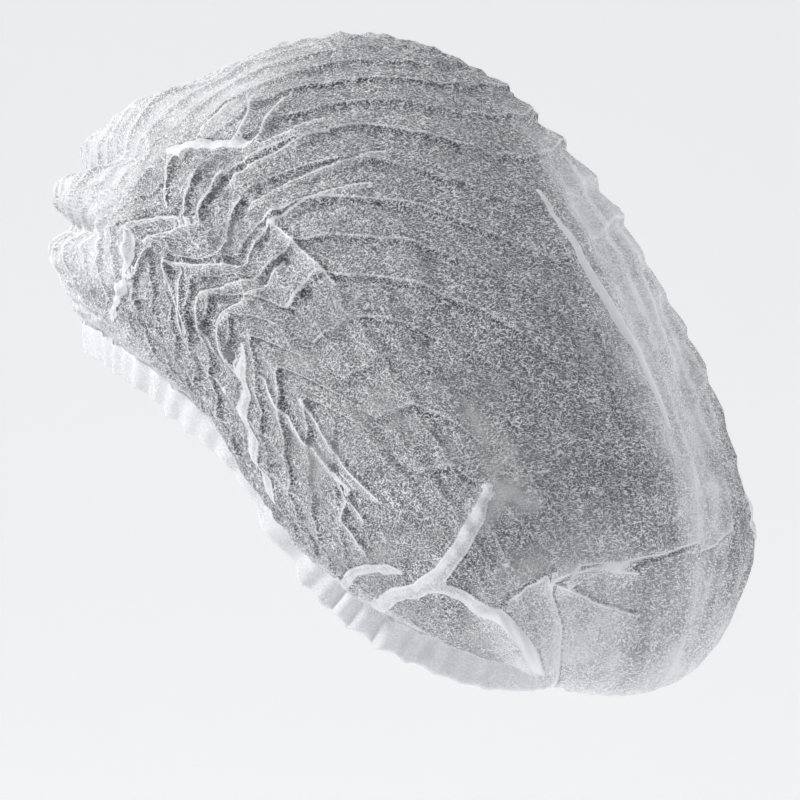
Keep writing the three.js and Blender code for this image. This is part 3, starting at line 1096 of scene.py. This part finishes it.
class Value:
    """A shader socket that can be used in Python sums."""

    def __init__(self, tree: Tree, socket: Any) -> None:
        """Wraps a socket.

        Args:
            tree: the node tree.
            socket: the output socket.
        """
        self.tree = tree
        self.socket = socket

    def math(self, operation: str, *others: Any) -> "Value":
        """Applies a Math node.

        Args:
            operation: the node's operation.
            *others: the other values.

        Returns:
            The result.
        """
        made = self.tree.node("ShaderNodeMath", {"operation": operation})
        for i, value in enumerate((self, *others)):
            self.tree.feed(made.inputs[i], value)
        return Value(self.tree, made.outputs[0])

    def reflected(self, operation: str, other: float) -> "Value":
        """Applies a Math node with this value second.

        Args:
            operation: the node's operation.
            other: the first value.

        Returns:
            The result.
        """
        made = self.tree.node("ShaderNodeMath", {"operation": operation})
        self.tree.feed(made.inputs[0], other)
        self.tree.feed(made.inputs[1], self)
        return Value(self.tree, made.outputs[0])

    def __add__(self, other: Any) -> "Value":
        """Sum.

        Args:
            other: what is added.

        Returns:
            The sum.
        """
        return self.math("ADD", other)

    def __radd__(self, other: float) -> "Value":
        """Sum with this value second.

        Args:
            other: the first value.

        Returns:
            The sum.
        """
        return self.reflected("ADD", other)

    def __sub__(self, other: Any) -> "Value":
        """Difference.

        Args:
            other: what is taken away.

        Returns:
            The difference.
        """
        return self.math("SUBTRACT", other)

    def __rsub__(self, other: float) -> "Value":
        """Difference with this value second.

        Args:
            other: the first value.

        Returns:
            The difference.
        """
        return self.reflected("SUBTRACT", other)

    def __mul__(self, other: Any) -> "Value":
        """Product.

        Args:
            other: the factor.

        Returns:
            The product.
        """
        return self.math("MULTIPLY", other)

    def __rmul__(self, other: float) -> "Value":
        """Product with this value second.

        Args:
            other: the first value.

        Returns:
            The product.
        """
        return self.reflected("MULTIPLY", other)

    def at_most(self, other: Any) -> "Value":
        """The smaller of two values.

        Args:
            other: the other value.

        Returns:
            The smaller one.
        """
        return self.math("MINIMUM", other)

    def at_least(self, other: Any) -> "Value":
        """The larger of two values.

        Args:
            other: the other value.

        Returns:
            The larger one.
        """
        return self.math("MAXIMUM", other)

    def away(self, level: float) -> "Value":
        """The distance from a level.

        Args:
            level: the level.

        Returns:
            The distance, never below 0.
        """
        return (self - level).math("ABSOLUTE")

    def rise_and_fall(self, ends: tuple[float, float, float, float]) -> "Value":
        """A smooth step up and then down again.

        Args:
            ends: where the step up starts and ends, and where the step down starts and ends.

        Returns:
            The steps' product.
        """
        return self.between(ends[0], ends[1]) * self.between(ends[3], ends[2])

    def between(self, low: float, high: float) -> "Value":
        """A smooth step from 0 at low to 1 at high.

        Args:
            low: where the step starts.
            high: where it ends.

        Returns:
            The step.
        """
        made = self.tree.node(
            "ShaderNodeMapRange", {"interpolation_type": "SMOOTHSTEP", "clamp": True},
            Value=self, From_Min=low, From_Max=high,
        )
        return Value(self.tree, made.outputs[0])


# Finishes


@dataclass(frozen=True)
class Weights:
    """How much each thing that shows in the cloth adds to a value."""

    base: float = 0.0
    cloud: float = 0.0
    fibre: float = 0.0
    fibre_cloud: float = 0.0
    line: float = 0.0
    pressed: float = 0.0
    # fold, in the colour, is painted shade that lightens across each pleat from one valley to the next.
    fold: float = 0.0
    slack: float = 0.0
    # lit is a painted highlight on one side of each sharp fold, and shadow is a painted shadow on its other
    # side.
    lit: float = 0.0
    shadow: float = 0.0


@dataclass(frozen=True)
class Shown:
    """What shows in the cloth: patchiness, fibres, crease lines, pressed bands, and painted shade and
    highlights.
    """

    cloud: Value
    fibre: Value
    line: Value
    pressed: Value
    # fold, in the colour, is painted shade that lightens across each pleat from one valley to the next.
    fold: Value
    slack: Value
    # lit is a painted highlight on one side of each sharp fold, and shadow is a painted shadow on its other
    # side.
    lit: Value
    shadow: Value

    def summed(self, weights: Weights) -> Value:
        """Adds it up.

        Args:
            weights: how much each thing adds.

        Returns:
            The sum.
        """
        total = weights.base + self.cloud * weights.cloud
        total = total + self.fibre * (weights.fibre + weights.fibre_cloud * self.cloud)
        for name in ("line", "pressed", "fold", "slack", "lit", "shadow"):
            weight = getattr(weights, name)
            if weight:
                total = total + getattr(self, name) * weight
        return total


@dataclass(frozen=True)
class Curl:
    """One family of curled fibres: its noise scale, and the level that the fibres follow."""

    scale: float
    level: float


@dataclass(frozen=True)
class Break:
    """How a line is broken up by the cloth's patchiness: what is left of it at the least, and its gain."""

    least: float
    gain: float

    def apart(self, line: Value, cloud: Value) -> Value:
        """Breaks a line up.

        Args:
            line: the line.
            cloud: the patchiness.

        Returns:
            The broken line.
        """
        return line * (self.least + self.gain * cloud)


@dataclass(frozen=True)
class Nonwoven:
    """Thin white spunbond cloth: a web of short fibres that light passes through.

    The colour between the fibres is painted shade, a dark grey that stands for the dim inside of the cap
    seen through the web. The pairs are where a smooth step starts and ends. Distances from a fold are in
    millimetres.
    """

    name: str
    white: tuple[float, float, float] = (0.93, 0.935, 0.945)
    # Painted shade: the dark grey between the fibres stands for the dim inside of the cap seen through the
    # web.
    gap_shade: tuple[float, float, float] = (0.07, 0.073, 0.082)
    # The colour's share of white over the painted gap shade. Here fold, lit and shadow paint shade across
    # the pleats, a highlight on one side of each sharp fold and a shadow on the other.
    tone: Weights = Weights(
        cloud=0.1, fibre=0.56, fibre_cloud=0.44, line=0.8, pressed=0.55, fold=0.14, slack=0.7, lit=0.2,
        shadow=-0.28,
    )
    cover: Weights = Weights(
        base=0.608, cloud=0.57, fibre=0.25, fibre_cloud=0.3, line=0.6, pressed=0.3, fold=0.2,
    )
    most_cover: float = 0.98
    glow: float = 0.27
    roughness: float = 0.75
    gloss: float = 0.25
    bump: float = 0.35
    bump_height: float = 0.3 * MM
    cloud_scale: float = 62
    cloud_detail: float = 3
    cloud_rough: float = 0.6
    cloud_step: tuple[float, float] = (0.24, 0.78)
    bend_scale: float = 260
    bend_reach: float = 1.6 * MM
    straight_turn: tuple[float, float, float] = (0.4, 0.5, math.radians(62))
    straight_size: tuple[float, float, float] = (480, 2500, 2500)
    straight_step: tuple[float, float] = (0.6, 0.68)
    curls: tuple[Curl, ...] = (Curl(510, 0.5), Curl(790, 0.47))
    curl_rough: float = 0.45
    curl_step: tuple[float, float] = (0.028, 0.0098)
    curl_least: float = 0.4
    cross_peak: float = 0.78
    cross_step: tuple[float, float] = (0.045, 0.0)
    cross_break: Break = Break(0.4, 0.9)
    # Where the painted shadow lies, just past the ridge of a crosswise crease.
    cross_shade: tuple[float, float, float, float] = (0.03, 0.07, 0.1, 0.2)
    lane_peak: float = 0.5
    lane_step: tuple[float, float] = (0.05, 0.0)
    lane_break: Break = Break(0.15, 0.7)
    gather_peak: float = 0.25
    gather_step: tuple[float, float] = (0.07, 0.0)
    near_step: tuple[float, float] = (5.4, 6.6)
    edge_step: tuple[float, float] = (0.5, 0.1)
    edge_break: Break = Break(0.35, 0.9)
    # Where the painted shadow and the painted highlight lie beside a sharp fold, in millimetres to either
    # side.
    shade_side: tuple[float, float, float, float] = (0.4, 1.0, 1.4, 4.0)
    shade_outside: tuple[float, float] = (0.0, 0.6)
    lit_side: tuple[float, float, float, float] = (-4.0, -0.3, -0.2, 0.2)
    band_step: tuple[float, float] = (0.1, -0.3)
    slack_break: Break = Break(0.7, 0.5)
    hem_seam: tuple[float, float, float, float] = (0.9, 1.0, 1.04, 1.12)
    hem_seam_line: float = 0.7
    hem_edge: tuple[float, float] = (1.93, 1.98)
    hem_edge_line: float = 0.6

    def fibres(self, tree: Tree, place: Value) -> Value:
        """The web of fibres.

        Args:
            tree: the material's tree.
            place: the piece's own coordinates.

        Returns:
            1 on a fibre and 0 between fibres.
        """
        bend = tree.node("ShaderNodeTexNoise", Vector=place, Scale=self.bend_scale, Detail=0.0)
        move = tree.node("ShaderNodeVectorMath", {"operation": "MULTIPLY_ADD"})
        for socket, value in zip(move.inputs, (tree.out(bend, "Color"), (self.bend_reach,) * 3, place)):
            tree.feed(socket, value)
        bent = tree.out(move)
        turned = tree.node(
            "ShaderNodeMapping", Vector=bent, Rotation=self.straight_turn, Scale=self.straight_size,
        )
        total = tree.out(tree.node(
            "ShaderNodeTexNoise", Vector=tree.out(turned), Scale=1.0, Detail=0.0,
        )).between(*self.straight_step)
        for curl in self.curls:
            field = tree.out(tree.node(
                "ShaderNodeTexNoise", Vector=bent, Scale=curl.scale, Detail=1.0, Roughness=self.curl_rough,
            ))
            line = field.away(curl.level).between(*self.curl_step)
            total = total.at_least(line * (self.curl_least + tree.out(bend, "Fac")))
        return total.at_most(1.0)

    def shown(self, tree: Tree) -> Shown:
        """Everything that shows in the cloth.

        Args:
            tree: the material's tree.

        Returns:
            It all, as shader values.
        """
        place = tree.out(tree.node("ShaderNodeTexCoord"), "Object")
        cloud = tree.out(tree.node(
            "ShaderNodeTexNoise", Vector=place, Scale=self.cloud_scale, Detail=self.cloud_detail,
            Roughness=self.cloud_rough,
        )).between(*self.cloud_step)
        cross, lane = tree.mark("cross").math("FRACT"), tree.mark("lane").math("FRACT")
        cross_force, lane_force = tree.mark("cross_force"), tree.mark("lane_force")
        gather, hem = tree.mark("gather").math("FRACT"), tree.mark("hem")
        side = tree.mark("fold_side")
        outside = side.math("ABSOLUTE") - tree.mark("fold_half")
        near = tree.mark("fold_near").between(*self.near_step)
        line = (
            self.cross_break.apart(
                cross.away(self.cross_peak).between(*self.cross_step) * cross_force, cloud,
            )
            + self.lane_break.apart(lane.away(self.lane_peak).between(*self.lane_step) * lane_force, cloud)
            + gather.away(self.gather_peak).between(*self.gather_step) * tree.mark("gather_force") * cloud
            + self.edge_break.apart(outside.math("ABSOLUTE").between(*self.edge_step) * near, cloud)
            + hem.rise_and_fall(self.hem_seam) * self.hem_seam_line
            + hem.between(*self.hem_edge) * self.hem_edge_line
        )
        past = cross - self.cross_peak
        return Shown(
            cloud=cloud,
            fibre=self.fibres(tree, place),
            line=line.at_most(1.0),
            pressed=(tree.mark("crease") + outside.between(*self.band_step) * near).at_most(1.1),
            # Painted shade: the colour lightens across each pleat and crease, from one valley to the next.
            fold=(cross * cross_force + lane * lane_force) * 0.5,
            slack=self.slack_break.apart(tree.mark("slack"), cloud),
            # Painted highlight on one side of each sharp fold.
            lit=side.rise_and_fall(self.lit_side) * near,
            # Painted shadow on the other side of each sharp fold, and just past the ridge of each crosswise
            # crease.
            shadow=side.rise_and_fall(self.shade_side) * near * outside.between(*self.shade_outside)
            + past.rise_and_fall(self.cross_shade) * cross_force.at_most(1.0),
        )

    def build(self) -> bpy.types.Material:
        """Makes the material.

        Returns:
            The material.
        """
        tree = Tree(self.name)
        shown = self.shown(tree)
        cover = shown.summed(self.cover).at_most(self.most_cover)
        tone = shown.summed(self.tone).at_most(1.0).at_least(0.0)
        bump = tree.out(tree.node(
            "ShaderNodeBump", Strength=self.bump, Distance=self.bump_height, Height=shown.fibre,
        ))
        cloth = tree.node(
            "ShaderNodeBsdfPrincipled", Base_Color=tree.mix(tone, (*self.gap_shade, 1), (*self.white, 1)),
            Roughness=self.roughness, Alpha=cover, Normal=bump, Specular_IOR_Level=self.gloss,
        )
        through = tree.node("ShaderNodeBsdfTranslucent", Color=(*self.white, 1))
        lit = tree.blend(cover, tree.node("ShaderNodeBsdfTransparent"), through)
        both = tree.blend(tone * self.glow, cloth, lit)
        tree.node("ShaderNodeOutputMaterial", Surface=tree.out(both))
        return tree.material


@dataclass(frozen=True)
class Plain:
    """A plain finish of one colour."""

    name: str
    colour: tuple[float, float, float]
    roughness: float
    glow: float = 0.0

    def build(self) -> bpy.types.Material:
        """Makes the material.

        Returns:
            The material.
        """
        tree = Tree(self.name)
        made = tree.node(
            "ShaderNodeBsdfPrincipled", Base_Color=(*self.colour, 1), Roughness=self.roughness,
            Emission_Color=(*self.colour, 1), Emission_Strength=self.glow,
        )
        tree.node("ShaderNodeOutputMaterial", Surface=tree.out(made))
        return tree.material


# Pieces


def finished(
    name: str, bm: bmesh.types.BMesh, material: bpy.types.Material, smooth: bool = True,
) -> bpy.types.Object:
    """Turns a bmesh into an object at the origin.

    Args:
        name: the object's name.
        bm: the geometry, which is freed.
        material: its material.
        smooth: whether its faces are shaded smooth.

    Returns:
        The object.
    """
    mesh = bpy.data.meshes.new(name)
    for face in bm.faces:
        face.smooth = smooth
    bm.to_mesh(mesh)
    bm.free()
    mesh.materials.append(material)
    made = bpy.data.objects.new(name, mesh)
    bpy.context.scene.collection.objects.link(made)
    return made


def draped(
    name: str,
    across: int,
    along: int,
    place: Callable[[Array, Array], Folded],
    material: bpy.types.Material,
    weld: bool = False,
) -> bpy.types.Object:
    """A fine grid laid over a form.

    Args:
        name: the object's name.
        across: segments across.
        along: segments along.
        place: gives the folded points for places from 0 to 1 across and along.
        material: its material.
        weld: whether edges that meet are joined.

    Returns:
        The object.
    """
    bm = bmesh.new()
    bmesh.ops.create_grid(bm, x_segments=across, y_segments=along, size=0.5)
    places = np.array([v.co for v in bm.verts])[:, :2] + 0.5
    folded = place(places[:, 0], places[:, 1])
    for vert, point in zip(bm.verts, folded.points):
        vert.co = point
    for mark, values in folded.marks.items():
        layer = bm.verts.layers.float.new(mark)
        for vert, value in zip(bm.verts, values):
            vert[layer] = value
    if weld:
        bmesh.ops.remove_doubles(bm, verts=bm.verts, dist=1e-6)
    return finished(name, bm, material)


@dataclass(frozen=True)
class CrownSize:
    """Mesh and cloth sizes of the crown, the cloth's in metres."""

    across: int = 300
    along: int = 325
    past_rim: float = 1.035
    flat_length: float = 0.54
    flat_width: float = 0.47
    cut_share: float = 0.75


class Crown:
    """The pleated cloth dome with its pouch."""

    def __init__(self, folding: Folding, size: CrownSize) -> None:
        """Keeps what the crown is made from.

        Args:
            folding: the folds.
            size: the crown's own sizes.
        """
        self.folding, self.size = folding, size

    def place(self, x: Array, y: Array) -> Folded:
        """The folded cloth at places of the grid.

        Args:
            x: from 0 to 1 across.
            y: from 0 to 1 along.

        Returns:
            The folded cloth.
        """
        return self.folding.cloth((2 * x - 1) * self.size.past_rim, y)

    def build(self, material: bpy.types.Material) -> bpy.types.Object:
        """Makes the crown.

        Args:
            material: the cloth's material.

        Returns:
            The object.
        """
        made = draped("crown_cloth", self.size.across, self.size.along, self.place, material)
        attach(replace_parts(made, "crown_fabric"), "root")
        return made


@dataclass(frozen=True)
class RimSize:
    """Sizes in metres, counts and shares of the hem and of the elastic that lies in it."""

    start: float = 0.25
    around: int = 620
    flare: float = 1.15
    flare_fall: float = 0.35
    least_lift: float = 0.7
    most_lift: float = 1.2
    white: float = 0.6
    wave_white: float = 0.4
    ply_room: float = 0.9 * MM
    ply_share: float = 0.44
    inner_height: float = 9.5 * MM
    hem_profile: int = 28
    elastic_thick: float = 0.8 * MM
    elastic_wide: float = 3.6 * MM
    elastic_foot: float = 1.8 * MM
    elastic_square: float = 0.5
    elastic_profile: int = 12


class Rim:
    """Pieces that run right round the opening."""

    def __init__(self, form: CapForm, folding: Folding, size: RimSize) -> None:
        """Keeps what the rim is made from.

        Args:
            form: the smooth form.
            folding: the folds.
            size: the sizes of the hem and the elastic.
        """
        self.form, self.folding, self.size = form, folding, size

    def place(self, round_share: Array, outward: Array, upward: Array) -> Folded:
        """Points of a piece that follows the rim.

        Args:
            round_share: 0 to 1 round the whole rim, starting half way down the left side.
            outward: distance out from the middle of the hem.
            upward: distance up the cloth from its fold.

        Returns:
            The points, with the ruffles as creases.
        """
        s = self.size
        turned = (round_share + s.start) % 1.0
        left = turned < 0.5
        along = np.where(left, turned * 2, 2 - turned * 2)
        across = np.where(left, 1.0, -1.0)
        point, out, up = self.form.rim_frame(along)
        wave, lift = self.folding.ruffle(along, across)
        flare = s.flare - s.flare_fall * upward / self.form.size.hem_height
        points = point + out * (outward + wave * flare)[:, None]
        points = points + up * (upward + lift * np.clip(flare, s.least_lift, s.most_lift))[:, None]
        crease = s.white + s.wave_white * np.abs(wave) / self.folding.size.ruffle
        return Folded(self.form.mirrored(points, across), {"crease": crease})

    def hem_place(self, x: Array, y: Array) -> Folded:
        """Points of the hem: down the outer ply, round its fold and up the inner ply.

        Args:
            x: from 0 to 1 round the rim.
            y: from 0 to 1 over the section.

        Returns:
            The points, marked with their height for the seam and the cut edge.
        """
        s, tall = self.size, self.form.size.hem_height
        turn = np.clip((y - s.ply_share) / (1 - 2 * s.ply_share), 0, 1) * math.pi
        down = np.clip(y / s.ply_share, 0, 1)
        back = np.clip((y - 1 + s.ply_share) / s.ply_share, 0, 1)
        upward = s.ply_room + (tall - s.ply_room) * (1 - down) + (s.inner_height - s.ply_room) * back
        upward = upward - s.ply_room * np.sin(turn)
        folded = self.place(x, s.ply_room * np.cos(turn), upward)
        folded.marks["hem"] = 1 + upward / tall
        return folded

    def elastic_place(self, x: Array, y: Array) -> Folded:
        """Points of the elastic, a flat band with rounded edges.

        Args:
            x: from 0 to 1 round the rim.
            y: from 0 to 1 round the section.

        Returns:
            The points.
        """
        s, turn = self.size, y * 2 * math.pi
        out, up = np.cos(turn), np.sin(turn)
        outward = s.elastic_thick / 2 * np.sign(out) * np.abs(out) ** s.elastic_square
        upward = s.elastic_foot + s.elastic_wide / 2 * (1 + np.sign(up) * np.abs(up) ** s.elastic_square)
        return self.place(x, outward, upward)

    def hem(self, material: bpy.types.Material) -> bpy.types.Object:
        """Makes the folded hem.

        Args:
            material: its material.

        Returns:
            The object.
        """
        s = self.size
        made = draped("hem_cloth", s.around, s.hem_profile, self.hem_place, material, weld=True)
        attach(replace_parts(made, "rim_hem"), "root")
        return made

    def elastic(self, material: bpy.types.Material) -> bpy.types.Object:
        """Makes the elastic band.

        Args:
            material: its material.

        Returns:
            The object.
        """
        s = self.size
        made = draped("elastic_band", s.around, s.elastic_profile, self.elastic_place, material, weld=True)
        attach(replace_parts(made, "rim_elastic"), "root")
        return made


@dataclass(frozen=True)
class WeldSize:
    """Sizes of a weld's tab and of its pressed points, in metres."""

    edge: float = 0.35 * MM
    edge_steps: int = 3
    least_tall: float = 2 * MM
    least_area: float = 10 * MM * MM
    cuts: int = 5
    point_edge: float = 0.3 * MM
    point_depth: float = 0.2 * MM
    sideways: float = 0.9


class Weld:
    """A welded end of the pleat stack: a pressed tab with a row of weld points."""

    def __init__(self, node: str, name: str, size: WeldSize) -> None:
        """Keeps the names and sizes.

        Args:
            node: the CAD node that it stands for.
            name: the object's name.
            size: the tab's sizes.
        """
        self.node, self.name, self.size = node, name, size

    def build(self, material: bpy.types.Material) -> bpy.types.Object:
        """Makes the tab.

        Args:
            material: its material.

        Returns:
            The object.
        """
        s = self.size
        low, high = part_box(self.node)
        middle, size = (low + high) / 2, high - low
        bm = bmesh.new()
        bmesh.ops.create_cube(bm, size=1.0, matrix=Matrix.Translation(middle) @ Matrix.Diagonal((*size, 1)))
        bmesh.ops.bevel(
            bm, geom=list(bm.edges), offset=s.edge, segments=s.edge_steps, profile=0.5, affect="EDGES",
            material=-1,
        )
        sides = [f for f in bm.faces if abs(f.normal.x) > s.sideways and f.calc_area() > s.least_area]
        edges = [e for f in sides for e in f.edges]
        upright = [e for e in edges if abs(e.verts[0].co.z - e.verts[1].co.z) > s.least_tall]
        cut = bmesh.ops.subdivide_edges(bm, edges=upright, cuts=s.cuts, use_grid_fill=True)
        faces = [f for f in cut["geom"] if isinstance(f, bmesh.types.BMFace)]
        cells = [f for f in faces if abs(f.normal.x) > s.sideways]
        bmesh.ops.inset_individual(bm, faces=cells, thickness=s.point_edge, depth=-s.point_depth)
        made = finished(self.name, bm, material, smooth=False)
        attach(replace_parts(made, self.node), "root")
        return made


# Studio


@dataclass(frozen=True)
class Lamp:
    """A soft lamp: its place to the picture's right, up and toward the camera, its side, and its watts."""

    name: str
    to_right: float
    up: float
    toward: float
    side: float
    watts: float


LAMPS = (
    Lamp("key", -0.95, 0.9, 0.42, 0.2, 15.5),
    Lamp("rim_light", 1.0, 0.5, -0.4, 0.6, 4),
    Lamp("fill", 1.0, -0.1, 1.2, 1.0, 3),
    Lamp("wall_light", 0.0, 1.9, -1.6, 2.0, 12),
)


@dataclass(frozen=True)
class Studio:
    """Camera, lights and the plain sweep behind the cap, in metres and degrees."""

    azimuth: float = 135
    elevation: float = 0.3
    distance: float = 4.0
    view_width: float = 0.2857
    aim_right: float = 23.6 * MM
    aim_up: float = 41.5 * MM
    sensor: float = 36
    farthest: float = 50
    floor: float = -0.32
    sweep: float = 3.0
    wall_share: float = 1.6
    bend: float = 1.4
    bend_steps: int = 24
    paper: Plain = Plain("backdrop", (0.86, 0.865, 0.87), 0.9, glow=0.43)
    sky: tuple[float, float, float] = (0.9, 0.93, 1.0)
    sky_strength: float = 0.22

    def axes(self) -> tuple[Vector, Vector, Vector]:
        """The camera's axes.

        Returns:
            Directions to the picture's right, up, and back toward the camera.
        """
        a, e = math.radians(self.azimuth), math.radians(self.elevation)
        back = Vector((math.sin(a) * math.cos(e), -math.cos(a) * math.cos(e), math.sin(e)))
        right = Vector((math.cos(a), math.sin(a), 0))
        return right, back.cross(right), back

    def camera(self) -> None:
        """Adds the camera."""
        right, up, back = self.axes()
        data = bpy.data.cameras.new("camera")
        data.sensor_width = self.sensor
        data.lens = self.sensor * self.distance / self.view_width
        data.clip_end = self.farthest
        made = bpy.data.objects.new("camera", data)
        aim = right * self.aim_right + Vector((0, 0, self.aim_up))
        turn = Matrix((right, up, back)).transposed().to_4x4()
        made.matrix_world = Matrix.Translation(aim + back * self.distance) @ turn
        bpy.context.scene.collection.objects.link(made)
        bpy.context.scene.camera = made

    def light(self, lamp: Lamp) -> None:
        """Adds a lamp that faces the cap.

        Args:
            lamp: the lamp.
        """
        right, rise, back = self.axes()
        data = bpy.data.lights.new(lamp.name, "AREA")
        data.size, data.energy = lamp.side, lamp.watts
        made = bpy.data.objects.new(lamp.name, data)
        place = right * lamp.to_right + rise * lamp.up + back * lamp.toward
        made.matrix_world = Matrix.Translation(place) @ place.to_track_quat("Z", "Y").to_matrix().to_4x4()
        bpy.context.scene.collection.objects.link(made)

    def backdrop(self) -> None:
        """Adds the floor and wall, one curved sheet."""
        right, _, back = self.axes()
        flat_back = Vector((back.x, back.y, 0)).normalized()
        bm = bmesh.new()
        floor, reach = self.floor, self.sweep
        section = ((reach, floor), (-reach, floor), (-reach, floor + self.wall_share * reach))
        corners = [
            bm.verts.new(right * x + flat_back * y + Vector((0, 0, z)))
            for y, z in section for x in (-2 * reach, 2 * reach)
        ]
        for i in (0, 2):
            bm.faces.new((corners[i], corners[i + 1], corners[i + 3], corners[i + 2]))
        fold = [e for e in bm.edges if len(e.link_faces) == 2]
        bmesh.ops.bevel(
            bm, geom=fold, offset=self.bend, segments=self.bend_steps, profile=0.5, affect="EDGES",
            material=-1,
        )
        bmesh.ops.recalc_face_normals(bm, faces=bm.faces)
        finished("sweep", bm, self.paper.build())

    def build(self) -> None:
        """Adds the whole studio."""
        self.camera()
        self.backdrop()
        for lamp in LAMPS:
            self.light(lamp)
        world = bpy.data.worlds.new("world")
        world.use_nodes = True
        background = world.node_tree.nodes["Background"]
        background.inputs["Color"].default_value = (*self.sky, 1)
        background.inputs["Strength"].default_value = self.sky_strength
        bpy.context.scene.world = world
        bpy.context.scene.view_settings.view_transform = "Standard"


def main() -> None:
    """Builds the cap and its studio."""
    logging.basicConfig(level=logging.INFO)
    form = CapForm(CapSize())
    folding = Folding(form, FoldSize())
    cloth = Nonwoven("nonwoven")
    # The hem's gaps are painted a much lighter shade. Its cloth is doubled, and the lighter paint also lifts
    # the shade in its tucked fold.
    hem_cloth = replace(
        cloth, name="nonwoven_hem", gap_shade=(0.6, 0.605, 0.615),
        cover=replace(cloth.cover, base=0.5504, cloud=0.516),
    )
    crown = Crown(folding, CrownSize())
    rim = Rim(form, folding, RimSize())
    dome = crown.build(cloth.build())
    hem = rim.hem(hem_cloth.build())
    elastic = rim.elastic(Plain("elastic", (0.85, 0.85, 0.83), 0.6).build())
    pressed = Plain("welded_nonwoven", (0.93, 0.93, 0.94), 0.45).build()
    front = Weld("front_end_weld", "front_weld", WeldSize()).build(pressed)
    back = Weld("back_end_weld", "back_weld", WeldSize()).build(pressed)
    Studio().build()
    for piece in (dome, hem, elastic, front, back):
        LOG.info("%s: %d faces", piece.name, len(piece.data.polygons))


if __name__ == "__main__":
    main()
